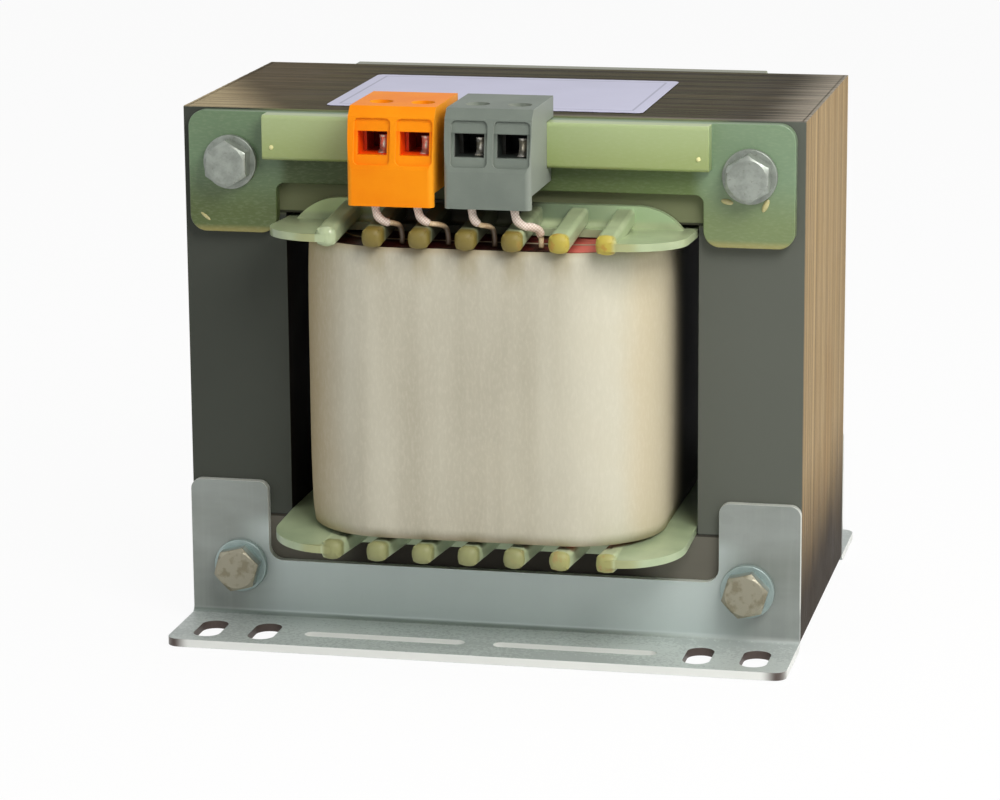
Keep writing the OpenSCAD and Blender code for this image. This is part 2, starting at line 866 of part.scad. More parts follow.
// Leads: each falls from its pole, bends to the right and dips into the gap beside the nearest finger
function cubic(a, b, c, d, t) =
    a * pow(1 - t, 3) + b * 3 * t * pow(1 - t, 2) + c * 3 * t * t * (1 - t) + d * pow(t, 3);
function unit(v) = v / norm(v);
function nearest_gap(x) = (round(x / finger_pitch) + 1 / 2) * finger_pitch;
function lead_route(x) =
    let (fall = lead_top - lead_end_z, gap_x = nearest_gap(x))
    [for (i = [0 : lead_steps]) cubic(
        [x, lead_y, lead_top],
        [x, lead_y, lead_top - fall * lead_drop_share],
        [gap_x, lead_end_y, lead_end_z + fall * lead_rise_share],
        [gap_x, lead_end_y, lead_end_z], i / lead_steps)];
function lead_course(route, i) = unit(route[min(i + 1, lead_steps)] - route[max(i - 1, 0)]);
function lead_ring(route, i) =
    let (along = lead_course(route, i), across = unit(cross([0, 1, 0], along)), out = cross(along, across))
    [for (k = [0 : lead_sides - 1])
        route[i] + lead_d / 2 * (across * cos(360 * k / lead_sides) + out * sin(360 * k / lead_sides))];

module lead(x) {
    route = lead_route(x);
    points = [for (i = [0 : lead_steps]) each lead_ring(route, i)];
    last = lead_steps * lead_sides;
    walls = [for (i = [0 : lead_steps - 1], k = [0 : lead_sides - 1])
        let (a = i * lead_sides + k, b = i * lead_sides + (k + 1) % lead_sides)
        [a, a + lead_sides, b + lead_sides, b]];
    top_end = [for (k = [0 : lead_sides - 1]) k];
    low_end = [for (k = [0 : lead_sides - 1]) last + lead_sides - 1 - k];
    color("#e8e0d4") polyhedron(points, concat(walls, [top_end, low_end]));
}

module orange_left_lead() {
    lead(pole_x(orange_x, -1));
}

module orange_right_lead() {
    lead(pole_x(orange_x, 1));
}

module grey_left_lead() {
    lead(pole_x(grey_x, -1));
}

module grey_right_lead() {
    lead(pole_x(grey_x, 1));
}

core_e_stack();
core_i_stack();
bobbin_tube();
upper_flange();
lower_flange();
primary_winding();
winding_barrier();
secondary_winding();
outer_wrap();
front_carrier();
rear_carrier();
front_bracket();
rear_bracket();
upper_left_bolt();
upper_right_bolt();
lower_left_bolt();
lower_right_bolt();
front_washers();
rear_washers();
upper_left_nut();
upper_right_nut();
lower_left_nut();
lower_right_nut();
orange_block();
grey_block();
orange_clamps();
grey_clamps();
orange_screws();
grey_screws();
orange_left_lead();
orange_right_lead();
grey_left_lead();
grey_right_lead();
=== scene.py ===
import json
import math
import random
from itertools import product

import bmesh
import bpy
from mathutils import Matrix, Vector, noise


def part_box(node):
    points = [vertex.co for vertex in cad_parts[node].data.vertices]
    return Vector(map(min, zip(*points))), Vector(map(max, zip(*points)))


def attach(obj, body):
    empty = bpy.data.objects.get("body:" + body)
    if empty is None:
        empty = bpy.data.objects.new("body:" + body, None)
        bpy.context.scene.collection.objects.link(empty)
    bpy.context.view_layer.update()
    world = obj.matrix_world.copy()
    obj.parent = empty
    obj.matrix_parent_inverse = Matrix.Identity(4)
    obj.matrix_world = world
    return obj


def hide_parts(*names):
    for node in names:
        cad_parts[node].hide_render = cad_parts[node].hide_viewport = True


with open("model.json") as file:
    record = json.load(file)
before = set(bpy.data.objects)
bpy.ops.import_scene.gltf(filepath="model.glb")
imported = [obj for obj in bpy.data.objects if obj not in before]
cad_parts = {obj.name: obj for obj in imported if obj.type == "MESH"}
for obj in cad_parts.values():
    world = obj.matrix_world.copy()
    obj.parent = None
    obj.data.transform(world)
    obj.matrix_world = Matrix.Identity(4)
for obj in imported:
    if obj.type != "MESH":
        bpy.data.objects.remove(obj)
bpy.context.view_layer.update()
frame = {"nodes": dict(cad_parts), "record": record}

# Places and sizes are in millimetres in the part's frame; camera and lamps are in metres
mm = 0.001
finger_pitch = 11
lower_joint = 27
upper_dark_line = 102.2
label_x = -2.95
label_y = -7.1


# Camera and lamps


def place_camera():
    """Long lens, a little to the right of the part and above it."""
    lens = bpy.data.cameras.new("bench_camera")
    lens.sensor_width = 36
    lens.lens = 133.09
    lens.clip_end = 20
    camera = bpy.data.objects.new("bench_camera", lens)
    place = Matrix.Translation((0.18715, -0.88012, 0.25839))
    turn = Matrix.Rotation(math.radians(12.41), 4, "Z")
    tip = Matrix.Rotation(math.radians(90 - 13.096), 4, "X")
    roll = Matrix.Rotation(math.radians(-0.4265), 4, "Z")
    camera.matrix_world = place @ turn @ tip @ roll
    bpy.context.scene.collection.objects.link(camera)
    bpy.context.scene.camera = camera


def soft_lamp(name, place, width, height, watts, colour):
    """Rectangular lamp that faces the middle of the part, in metres."""
    light = bpy.data.lights.new(name, "AREA")
    light.shape = "RECTANGLE"
    light.size = width
    light.size_y = height
    light.energy = watts
    light.color = colour
    lamp = bpy.data.objects.new(name, light)
    middle = Vector((0, 0, 0.07))
    aim = (middle - Vector(place)).to_track_quat("-Z", "Y")
    lamp.matrix_world = Matrix.Translation(place) @ aim.to_matrix().to_4x4()
    bpy.context.scene.collection.objects.link(lamp)


# Shader values and finishes


def srgb(red, green, blue):
    """Linear colour of a shade given in display values from 0 to 255."""
    def linear(value):
        share = value / 255
        return share / 12.92 if share <= 0.04045 else ((share + 0.055) / 1.055) ** 2.4
    return (linear(red), linear(green), linear(blue), 1)


class Value:
    """A number that varies over a surface, for use in sums."""

    def __init__(self, finish, socket):
        self.finish = finish
        self.socket = socket

    def sum(self, operation, first, second):
        return self.finish.node("Math", {"operation": operation}, {0: first, 1: second})

    def __add__(self, other):
        return self.sum("ADD", self, other)

    def __radd__(self, other):
        return self.sum("ADD", other, self)

    def __sub__(self, other):
        return self.sum("SUBTRACT", self, other)

    def __rsub__(self, other):
        return self.sum("SUBTRACT", other, self)

    def __mul__(self, other):
        return self.sum("MULTIPLY", self, other)

    def __rmul__(self, other):
        return self.sum("MULTIPLY", other, self)

    def __truediv__(self, other):
        return self.sum("DIVIDE", self, other)

    def __abs__(self):
        return self.finish.node("Math", {"operation": "ABSOLUTE"}, {0: self})

    def __mod__(self, other):
        return self.sum("FLOORED_MODULO", self, other)


class Finish:
    """The nodes of a material or of the room, added one call at a time."""

    def __init__(self, owner):
        owner.use_nodes = True
        self.owner = owner
        self.tree = owner.node_tree
        self.tree.nodes.clear()

    def node(self, kind, settings=None, sockets=None, output=0):
        """Adds a node with its settings and its sockets' values or links; gives one output."""
        made = self.tree.nodes.new("ShaderNode" + kind)
        for key, value in (settings or {}).items():
            setattr(made, key, value)
        for key, value in (sockets or {}).items():
            if isinstance(value, Value):
                self.tree.links.new(value.socket, made.inputs[key])
            else:
                made.inputs[key].default_value = value
        return Value(self, made.outputs[output]) if made.outputs else None

    def axes(self, vector):
        """The three parts of a vector."""
        return [self.node("SeparateXYZ", sockets={0: vector}, output=axis) for axis in "XYZ"]

    def place(self):
        """Position on the piece, in millimetres."""
        point = self.node("TexCoord", output="Object")
        return self.node("VectorMath", {"operation": "SCALE"}, {"Vector": point, "Scale": 1000})

    def facing(self):
        """How far the surface faces along X, Y and Z, from 0 to 1."""
        return [abs(part) for part in self.axes(self.node("NewGeometry", output="Normal"))]

    def ray(self, kind):
        """1 for rays of a kind, such as those from the camera, and 0 for others."""
        return self.node("LightPath", output="Is %s Ray" % kind)

    def stretched(self, vector, x, y, z):
        """The vector with its parts scaled, which draws a pattern out or packs it."""
        return self.node("VectorMath", {"operation": "MULTIPLY"}, {0: vector, 1: (x, y, z)})

    def cloud(self, vector, scale, detail=4, roughness=0.55):
        """Soft random tone from 0 to 1, with scale cells per millimetre."""
        return self.node("TexNoise", sockets={
            "Vector": vector, "Scale": scale, "Detail": detail, "Roughness": roughness})

    def cells(self, vector, scale):
        """A random tone for each grain, with scale grains per millimetre."""
        grains = self.node("TexVoronoi", sockets={"Vector": vector, "Scale": scale}, output="Color")
        return self.axes(grains)[0]

    def fade(self, value, low, high):
        """0 below low, 1 above high and a soft step between them."""
        return self.node("MapRange", {"interpolation_type": "SMOOTHSTEP"}, {
            "Value": value, "From Min": low, "From Max": high})

    def blend(self, share, first, second):
        """First colour at a share of 0, second at 1."""
        return self.node("Mix", {"data_type": "RGBA"}, {0: share, 6: first, 7: second}, 2)

    def surface(self, colour, roughness, relief=None, depth=0.0, **constants):
        """Closes the material: relief runs from 0 to 1 and is depth millimetres high."""
        sockets = {"Base Color": colour, "Roughness": roughness}
        if relief is not None:
            sockets["Normal"] = self.node("Bump", sockets={
                "Height": relief, "Distance": depth * mm, "Strength": 1})
        for key, value in constants.items():
            sockets[key.replace("_", " ").title().replace("Ior", "IOR")] = value
        shader = self.node("BsdfPrincipled", sockets=sockets)
        self.node("OutputMaterial", sockets={"Surface": shader})
        return self.owner

    def mixed(self, output, share, first, second):
        """Closes the nodes with two shaders: the first at a share of 0, the second at 1."""
        shader = self.node("MixShader", sockets={0: share, 1: first, 2: second})
        self.node(output, sockets={"Surface": shader})


def finish_for(name):
    return Finish(bpy.data.materials.new(name))


def box_of(node):
    """Lowest and highest corners of a CAD node, in millimetres."""
    return [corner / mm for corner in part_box(node)]


def lamination_steel():
    """Varnished steel: grey outer sheets, tan sheet edges at the sides, dark brown ones on top."""
    f = finish_for("lamination_steel")
    place = f.place()
    x, y, z = f.axes(place)
    _, deep, up = f.facing()
    fine = f.cloud(f.stretched(place, 0.003, 1, 0.003), 1.1, 3)
    packs = f.cloud(f.stretched(place, 0.004, 1, 0.006), 0.16, 3)
    swirl = f.cloud(f.stretched(place, 0.6, 1, 0.35), 0.05, 3)
    side = f.blend(f.fade(packs, 0.3, 0.7), srgb(154, 129, 92), srgb(190, 164, 122))
    side = f.blend(0.34 * f.fade(fine, 0.52, 0.68), side, srgb(112, 92, 64))
    gap = f.fade(abs(2 * y % 1 - 0.5), 0.34, 0.48)
    side = f.blend(0.4 * gap, side, srgb(84, 66, 44))
    side = f.blend(0.4 * f.fade(swirl, 0.5, 0.65), side, srgb(152, 122, 82))
    # Painted shade: the sheet edges darken towards the floor, and the faces inside the windows are
    # near-black.
    side = f.blend(f.fade(z + 26 * swirl, 60, 22), side, srgb(44, 33, 21))
    side = f.blend(f.fade(abs(x), 52, 51), side, srgb(18, 15, 12))
    top = f.blend(f.fade(0.6 * packs + 0.4 * fine, 0.38, 0.62), srgb(28, 23, 15), srgb(74, 65, 47))
    top = f.blend(0.4 * f.fade(x + 20 * swirl, -18, -60), top, srgb(118, 101, 70))
    top = f.blend(0.85 * f.fade(x + 0.5 * y + 16 * packs, -58, -76), top, srgb(186, 168, 132))
    top = f.blend(0.75 * f.fade(x + 20 * fine, 72, 88), top, srgb(178, 168, 152))
    top = f.blend(0.4 * gap, top, srgb(20, 16, 11))
    # Painted highlight: the front sheets' top edges catch light in a pale strip.
    top = f.blend(0.7 * f.fade(y, -36.8, -38.2) * f.fade(x, -20, 10), top, srgb(124, 116, 106))
    edges = f.blend(f.fade(up, 0.4, 0.7), side, top)
    mottle = f.cloud(place, 0.06, 4)
    # Painted shade: the outer sheets are darker to the left, away from the light, and lighter to the
    # right.
    sheet = f.blend(f.fade(x + 24 * mottle, -74, 76), srgb(68, 71, 65), srgb(93, 96, 89))
    yoke = f.fade(z, lower_joint + 0.1, lower_joint - 0.1)
    sheet = f.blend(0.6 * yoke, sheet, srgb(114, 108, 98))
    # Painted shade: the lower yoke is near-black under the coil, between the fingers.
    sheet = f.blend(0.8 * yoke * f.fade(abs(x), 42, 32), sheet, srgb(26, 20, 17))
    # Painted light: the upper yoke between the carriers and the upstand is lighter, with a painted
    # green reflection of the carriers.
    sheet = f.blend(0.8 * f.fade(z, 101, 103) * f.fade(abs(x), 60, 50), sheet, srgb(128, 133, 98))
    # Dark lines across the front: the seam where the lower stack meets the upper, and a line at the
    # height of the windows' top edge.
    dark_lines = f.fade(abs(z - upper_dark_line), 0.5, 0.2) * f.fade(abs(x), 58, 52)
    dark_lines = dark_lines + f.fade(abs(z - lower_joint), 0.5, 0.2)
    sheet = f.blend(0.8 * dark_lines, sheet, srgb(34, 32, 29))
    on_face = f.fade(deep, 0.5, 0.8)
    relief = (1 - on_face) * (0.6 * fine + 0.4 * packs)
    colour = f.blend(on_face, edges, sheet)
    return f.surface(colour, 0.48 + 0.25 * mottle, relief, 0.06, specular_ior_level=0.1)


def galvanised_sheet():
    """Zinc-coated sheet with faint streaks, speckled feet and rusty slot walls; painted light on the
    strip, feet and cut edges, painted highlights on the rims, painted shadow at the bend.
    """
    f = finish_for("galvanised_sheet")
    place = f.place()
    x, y, z = f.axes(place)
    _, deep, up = f.facing()
    smear = f.cloud(f.stretched(place, 0.3, 1, 1), 0.06, 4)
    streak = f.cloud(f.stretched(place, 1, 1, 0.04), 0.5, 3)
    grain = f.cells(place, 0.35)
    colour = f.blend(f.fade(smear, 0.35, 0.65), srgb(132, 138, 132), srgb(149, 155, 151))
    colour = f.blend(0.12 * f.fade(streak, 0.45, 0.7), colour, srgb(176, 180, 176))
    colour = f.blend(0.12 * grain, colour, srgb(128, 132, 128))
    # Painted light: the front strip is lighter, with a bluish painted sheen.
    strip = f.fade(z + 6 * smear, 32, 26) * f.fade(abs(x), 66, 50)
    colour = f.blend(0.75 * strip, colour, srgb(202, 214, 212))
    # Painted light: the up-facing feet are paler, lit from above.
    foot = f.fade(z, 4, 2.2) * f.fade(up, 0.5, 0.9)
    colour = f.blend(0.85 * foot, colour, srgb(214, 221, 218))
    speckle = f.cloud(place, 1.3, 2)
    spots = foot * f.fade(0.5 * speckle + 0.5 * smear, 0.46, 0.56)
    colour = f.blend(0.4 * spots, colour, srgb(154, 162, 161))
    # Painted shadow along the bend between the strip and the feet.
    bend = f.fade(deep, 0.2, 0.5) * f.fade(up, 0.2, 0.5) * f.fade(z, 7, 5) * f.fade(x, 66, 20)
    colour = f.blend(0.6 * bend, colour, srgb(92, 108, 98))
    # Painted light: the cut edges of the feet are near-white, except the slot walls and corners,
    # which are rusty.
    cut_edge = f.fade(z, 2.02, 1.9) * f.fade(up, 0.6, 0.3)
    colour = f.blend(cut_edge, colour, srgb(236, 238, 234))
    slot_wall = f.fade(abs(x), 46, 47) * f.fade(abs(x), 72, 71) * f.fade(abs(abs(y) - 55), 8, 7)
    corner = f.fade(abs(x), 69, 73) * f.fade(abs(y), 61, 65)
    colour = f.blend(0.95 * cut_edge * (slot_wall + corner), colour, srgb(72, 55, 48))
    # Painted highlight: bright rims on the bevels and cut sides above the feet.
    rim = f.fade(deep, 0.99, 0.9) * f.fade(z, 8, 12)
    colour = f.blend(0.8 * rim, colour, srgb(226, 229, 222))
    return f.surface(colour, 0.36 + 0.14 * smear, 0.7 * smear + 0.3 * streak, 0.015, metallic=0.35)


def zinc_plate():
    """Zinc plating, dulled in its pits, with a painted bluish highlight on the lower washers,
    yellowed on the lower heads.
    """
    f = finish_for("zinc_plate")
    place = f.place()
    _, y, z = f.axes(place)
    cloud = f.cloud(place, 0.35, 4)
    pits = f.fade(f.cloud(place, 1.6, 2), 0.6, 0.75)
    colour = f.blend(f.fade(cloud, 0.3, 0.7), srgb(138, 144, 136), srgb(164, 170, 162))
    colour = f.blend(0.35 * pits, colour, srgb(112, 112, 100))
    low = f.fade(z, 60, 40)
    # Painted highlight: the lower washers take a bluish sheen.
    colour = f.blend(0.5 * low * f.fade(abs(y), 43.9, 43.7), colour, srgb(166, 190, 192))
    yellowed = f.blend(f.fade(cloud, 0.45, 0.6), srgb(152, 147, 128), srgb(128, 120, 96))
    colour = f.blend(0.9 * low * f.fade(abs(y), 45.6, 46.4), colour, yellowed)
    return f.surface(colour, 0.3 + 0.16 * cloud, 1 - pits, 0.02, metallic=0.55)


def carrier_green():
    """Glass-filled moulding, glossy green, paler on the clip bar and yellower at its lower rims;
    painted shade to the left and under the bar, painted light up the bar, painted highlights on the
    pips.
    """
    f = finish_for("carrier_green")
    place = f.place()
    x, y, z = f.axes(place)
    cloud = f.cloud(place, 0.05, 4)
    fibre = f.cloud(f.stretched(place, 0.3, 1, 1), 2.4, 2)
    shade = f.fade(x + 14 * cloud, -72, 76)
    plate = f.blend(shade, srgb(101, 126, 93), srgb(119, 143, 112))
    low = f.blend(shade, srgb(76, 91, 40), srgb(113, 129, 84))
    plate = f.blend(f.fade(z + 8 * cloud, 120, 106), plate, low)
    # Painted shadow: the web under the clip bar is dark olive.
    web = f.fade(abs(x), 52, 48) * f.fade(z, 116.2, 115.4)
    plate = f.blend(0.8 * web, plate, f.blend(shade, srgb(49, 59, 18), srgb(94, 112, 56)))
    rim = f.fade(z + 1.5 * cloud, 100.2, 98.4)
    plate = f.blend(0.5 * rim, plate, srgb(168, 150, 84))
    # Painted light: the clip bar is lighter towards its top.
    bar = f.blend(f.fade(z, 115, 127), srgb(148, 162, 100), srgb(164, 180, 128))
    colour = f.blend(f.fade(abs(y), 42.3, 43.4), plate, bar)
    varnished = f.fade(y, 40, 42) * f.fade(z, 126.2, 126.5)
    colour = f.blend(0.8 * varnished, colour, srgb(84, 80, 52))
    colour = f.blend(0.07 * f.fade(fibre, 0.45, 0.7), colour, srgb(190, 200, 165))
    # Painted highlight: the pips on the clip bar are pale.
    colour = f.blend(f.fade(abs(y), 47.04, 47.12), colour, srgb(226, 224, 160))
    return f.surface(
        colour, 0.24 + 0.12 * cloud + 0.3 * web, 0.8 * cloud + 0.2 * fibre, 0.02,
        coat_weight=0.3 * (1 - web), coat_roughness=0.12)


def former_green():
    """Pale green moulding with amber varnish on its finger ends; painted shade under the terminal
    blocks behind the leads, painted light on the upstand and the lower fingers.
    """
    f = finish_for("former_green")
    place = f.place()
    x, y, z = f.axes(place)
    cloud = f.cloud(place, 0.09, 4)
    spot = f.cloud(place, 0.45, 3)
    colour = f.blend(f.fade(cloud, 0.3, 0.7), srgb(160, 174, 136), srgb(184, 197, 157))
    in_bay = f.fade(abs(x), 35.6, 35)
    clean = f.fade(x, -26, -30) * f.fade(z, 60, 66)
    reach = abs(y) + 1.6 * spot + 2.2 * f.fade(x, 18, 8)
    tip = f.fade(abs(x), 36.2, 34) * (1 - clean) * f.fade(reach, 65.2, 67)
    # Painted shade: the tips to the left, under the terminal blocks, are darker amber.
    amber = f.blend(f.fade(x, 8, 28), srgb(112, 92, 4), srgb(186, 166, 54))
    amber = f.blend(0.6 * f.fade(z, 70, 60), amber, srgb(146, 140, 74))
    colour = f.blend(0.92 * tip, colour, amber)
    browned = tip * f.fade(spot, 0.54, 0.66) * f.fade(x, 6, 24)
    colour = f.blend(0.5 * browned, colour, srgb(176, 112, 40))
    # Painted light: the upstand is lighter towards its ends, darker in its middle under the block.
    wall = f.fade(abs(y), 43, 41.6) * f.fade(z, 102, 103.5)
    ends = f.blend(f.fade(x, -10, 10), srgb(198, 218, 160), srgb(166, 192, 150))
    wall_tone = f.blend(f.fade(abs(x), 18, 34), srgb(96, 118, 94), ends)
    colour = f.blend(0.75 * wall, colour, wall_tone)
    lower = f.fade(z, 66, 60)
    colour = f.blend(0.25 * lower, colour, srgb(134, 160, 136))
    # Painted light: the lower fingers in the bay are paler, standing for light on them.
    pale = in_bay * lower * f.fade(abs(y), 50, 60) * (1 - tip)
    colour = f.blend(0.45 * pale, colour, srgb(222, 233, 190))
    rim = (1 - in_bay) * f.fade(abs(y) + 1.5 * cloud, 66.6, 67.9)
    colour = f.blend(0.55 * rim, colour, srgb(152, 148, 88))
    # Painted shade under the terminal blocks, behind the leads.
    behind_leads = f.fade(y, -64.6, -61.4) * f.fade(y, -38, -39)
    under_blocks_shade = f.fade(abs(x + 6) + 9 * cloud, 27, 19) * behind_leads * f.fade(z, 98, 99.5)
    colour = f.blend(0.9 * under_blocks_shade, colour, srgb(40, 34, 18))
    dull = 1 - (1 - tip) * (1 - under_blocks_shade)
    return f.surface(
        colour, 0.24 + 0.14 * cloud + 0.2 * dull, cloud, 0.03,
        coat_weight=0.3 * (1 - dull), coat_roughness=0.12)


def wrap_paper():
    """Cream insulating paper with fibres and upright bands, stained at its ends; stains and painted
    shadow below the fingers, painted shade in the windows.
    """
    f = finish_for("wrap_paper")
    place = f.place()
    x, y, z = f.axes(place)
    cloud = f.cloud(place, 0.035, 4)
    fibre = f.cloud(f.stretched(place, 1, 1, 0.35), 1.5, 3, 0.65)
    crease = f.cloud(f.stretched(place, 1, 1, 0.06), 0.10, 2)
    lit = f.blend(f.fade(x + 14 * cloud, 8, 46), srgb(171, 165, 146), srgb(197, 192, 171))
    colour = f.blend(0.6 * f.fade(0.25 * cloud + 0.75 * crease, 0.3, 0.7), lit, srgb(206, 202, 184))
    # Browner and darker at the left end: a stain, deepened by painted shade.
    colour = f.blend(0.85 * f.fade(x + 6 * cloud, -25, -39), colour, srgb(172, 152, 110))
    colour = f.blend(0.5 * f.fade(x + 6 * cloud, 37, 43), colour, srgb(196, 178, 140))
    colour = f.blend(0.13 * f.fade(fibre, 0.42, 0.7), colour, srgb(228, 223, 207))
    colour = f.blend(0.12 * f.fade(cloud, 0.5, 0.72), colour, srgb(192, 182, 154))
    end = f.fade(abs(z - 64) + 3 * cloud, 34.4, 36.8)
    colour = f.blend(0.45 * end, colour, srgb(172, 148, 106))
    # Below each finger, a brownish stain together with the finger's painted shadow.
    from_finger = abs((x + finger_pitch / 2) % finger_pitch - finger_pitch / 2)
    finger_stain_and_shadow = f.fade(from_finger, 3.6, 1) * f.fade(abs(x), 30, 27) * f.fade(z + 6 * cloud, 92, 100)
    colour = f.blend(0.4 * finger_stain_and_shadow, colour, srgb(142, 126, 84))
    # Painted shade: the coil's sides in the windows are near-black.
    in_window = f.fade(abs(y), 32, 15) * f.fade(abs(x), 38, 42)
    colour = f.blend(0.9 * in_window, colour, srgb(20, 17, 12))
    return f.surface(colour, 0.5 + 0.2 * fibre, 0.7 * crease + 0.3 * fibre, 0.1)


def enamelled_copper():
    """Red-brown enamelled wire under varnish, in painted shade nearly black towards the left, and
    bright red in painted light at the right.
    """
    f = finish_for("enamelled_copper")
    place = f.place()
    x, _, _ = f.axes(place)
    cloud = f.cloud(place, 0.16, 4)
    fleck = f.cloud(place, 0.8, 3)
    colour = f.blend(f.fade(cloud, 0.35, 0.65), srgb(62, 20, 17), srgb(150, 48, 40))
    colour = f.blend(0.7 * f.fade(fleck, 0.48, 0.66), colour, srgb(30, 15, 12))
    # Painted shade: the turns under the terminal blocks are near-black.
    colour = f.blend(0.85 * f.fade(x, 18, 10), colour, srgb(18, 6, 7))
    # Painted light: the turns clear of the blocks, at the right, are bright red.
    colour = f.blend(0.9 * f.fade(x + 8 * cloud, 22, 30), colour, srgb(226, 112, 98))
    return f.surface(
        colour, 0.24 + 0.2 * fleck, fleck, 0.03, metallic=0.35, coat_weight=0.4, coat_roughness=0.1)


def moulded_plastic(name, node, tones, depths):
    """Terminal moulding with a fine grain, lighter at its sides, in painted shade inside its entries,
    where the orange block's mouths take a painted red glow.
    """
    f = finish_for(name)
    low, high = box_of(node)
    place = f.place()
    x, y, z = f.axes(place)
    across = f.facing()[0]
    cloud = f.cloud(place, 0.07, 3)
    grain = f.cloud(place, 3.2, 2)
    colour = f.blend(f.fade(cloud, 0.3, 0.7), tones[0], tones[1])
    colour = f.blend(0.12 * f.fade(grain, 0.55, 0.75), colour, tones[2])
    colour = f.blend(0.8 * across, colour, tones[2])
    from_middle = abs(x - (low.x + high.x) / 2)
    from_entries = abs(z - (high.z - 8.3))
    # Painted shade deeper inside the entries; the first tone gives the orange mouths a painted red
    # glow.
    within = f.fade(from_middle, 9.95, 9.8) * f.fade(from_entries, 2.95, 2.75)
    depth = y - low.y
    colour = f.blend(within * f.fade(depth, 1.4, 3), colour, depths[0])
    colour = f.blend(within * f.fade(depth, 6, 10), colour, depths[1])
    return f.surface(colour, 0.36 + 0.12 * grain, grain, 0.012, specular_ior_level=0.13)


def clamp_plate():
    """Tinned clamp metal, bright at the right of each wire entry, in painted shade at its left, with
    a painted orange reflection in the orange block.
    """
    f = finish_for("clamp_plate")
    place = f.place()
    x, _, z = f.axes(place)
    cloud = f.cloud(place, 0.7, 4)
    colour = f.blend(f.fade(cloud, 0.35, 0.7), srgb(196, 188, 164), srgb(236, 234, 226))
    grey = f.fade(x, -6, -5)
    from_pole = (x + 27.05 - 22.9 * grey) % 10 - 5
    # Painted shade at the left of each entry: a painted orange reflection in the orange block,
    # near-black in the grey.
    shaded = f.fade(from_pole, 0.6, -1) * f.fade(z, 127.5, 127)
    colour = f.blend(0.95 * shaded, colour, f.blend(grey, srgb(214, 74, 14), srgb(26, 26, 24)))
    return f.surface(colour, 0.22 + 0.2 * cloud, cloud, 0.02, metallic=0.6)


def woven_sleeve():
    """Braided sleeving, off-white with a pink cast and browner low down."""
    f = finish_for("woven_sleeve")
    place = f.place()
    x, _, z = f.axes(place)
    cloud = f.cloud(place, 0.3, 3)
    first = f.fade(abs((x + z * 0.9) * 1.4 % 1 - 0.5), 0.1, 0.45)
    second = f.fade(abs((x - z * 0.9) * 1.4 % 1 - 0.5), 0.1, 0.45)
    weave = 0.5 * first + 0.5 * second
    colour = f.blend(weave, srgb(206, 182, 166), srgb(242, 230, 220))
    low = f.fade(z + 3 * cloud, 107, 103)
    colour = f.blend(0.6 * low, colour, srgb(184, 138, 98))
    return f.surface(colour, 0.6 + 0.15 * weave, weave, 0.08)


def lapped_wire():
    """Straw-coloured lead ends under varnish, in painted shade where they dip into the gaps."""
    f = finish_for("lapped_wire")
    place = f.place()
    x, _, z = f.axes(place)
    cloud = f.cloud(place, 0.5, 3)
    turns = f.cloud(f.stretched(place, 2, 1, 1), 1.8, 2)
    colour = f.blend(f.fade(cloud, 0.3, 0.7), srgb(204, 174, 134), srgb(230, 206, 166))
    colour = f.blend(0.4 * f.fade(turns, 0.5, 0.7), colour, srgb(128, 84, 50))
    # Painted shade where the tails dip into the gaps.
    colour = f.blend(0.9 * f.fade(z, 104.6, 103.2) * f.fade(x, 13, 10), colour, srgb(46, 28, 20))
    return f.surface(colour, 0.3 + 0.2 * cloud, turns, 0.05, coat_weight=0.3, coat_roughness=0.15)


def label_film():
    """Pale film with a bare, ruled panel."""
    rule_half_x = 35.6
    rule_half_y = 23.2
    f = finish_for("label_film")
    place = f.place()
    x, y, _ = f.axes(place)
    cloud = f.cloud(place, 0.05, 3)
    colour = f.blend(f.fade(cloud, 0.2, 0.8), srgb(187, 187, 214), srgb(197, 197, 223))
    across = abs(x - label_x)
    along = abs(y - label_y)
    inside_y = f.fade(along, rule_half_y + 0.2, rule_half_y)
    inside_x = f.fade(across, rule_half_x + 0.2, rule_half_x)
    rule_x = f.fade(abs(across - rule_half_x), 0.35, 0.2) * inside_y
    rule_y = f.fade(abs(along - rule_half_y), 0.35, 0.2) * inside_x
    rule = 1 - (1 - rule_x) * (1 - rule_y)
    colour = f.blend(0.6 * rule, colour, srgb(120, 122, 150))
    return f.surface(colour, 0.3 + 0.12 * cloud, cloud, 0.02, coat_weight=0.2, coat_roughness=0.2)


def amber_varnish():
    """Set drops of impregnating varnish, paler than amber as a painted highlight."""
    f = finish_for("amber_varnish")
    cloud = f.cloud(f.place(), 0.8, 3)
    colour = f.blend(cloud, srgb(164, 152, 88), srgb(208, 202, 150))
    return f.surface(colour, 0.14 + 0.08 * cloud, cloud, 0.02, coat_weight=0.5, coat_roughness=0.05)


# Room and floor


def light_studio():
    """Even white room, dimmer in light and gloss than to the camera, and four soft lamps in it."""
    world = bpy.data.worlds.new("studio_room")
    bpy.context.scene.world = world
    f = Finish(world)
    seen = f.node("Clamp", sockets={
        "Value": f.ray("Camera") + f.ray("Transmission") + 0.4 * f.ray("Glossy")})
    room = f.node("Background", sockets={"Color": (1, 1, 1, 1), "Strength": 0.3})
    backdrop = f.node("Background", sockets={"Color": (1, 1, 1, 1), "Strength": 1})
    f.mixed("OutputWorld", seen, room, backdrop)
    soft_lamp("right_softbox", (0.30, -0.38, 0.46), width=0.3, height=0.3,
              watts=2.6, colour=(1, 0.985, 0.95))
    soft_lamp("left_softbox", (-0.7, -0.85, 0.4), width=0.6, height=0.5,
              watts=1.2, colour=(0.96, 0.98, 1))
    soft_lamp("side_softbox", (0.9, 0.1, 0.5), width=0.5, height=0.5,
              watts=2.4, colour=(1, 0.99, 0.97))
    soft_lamp("top_softbox", (0.1, 0.3, 0.95), width=0.7, height=0.7,
              watts=1.6, colour=(1, 1, 1))


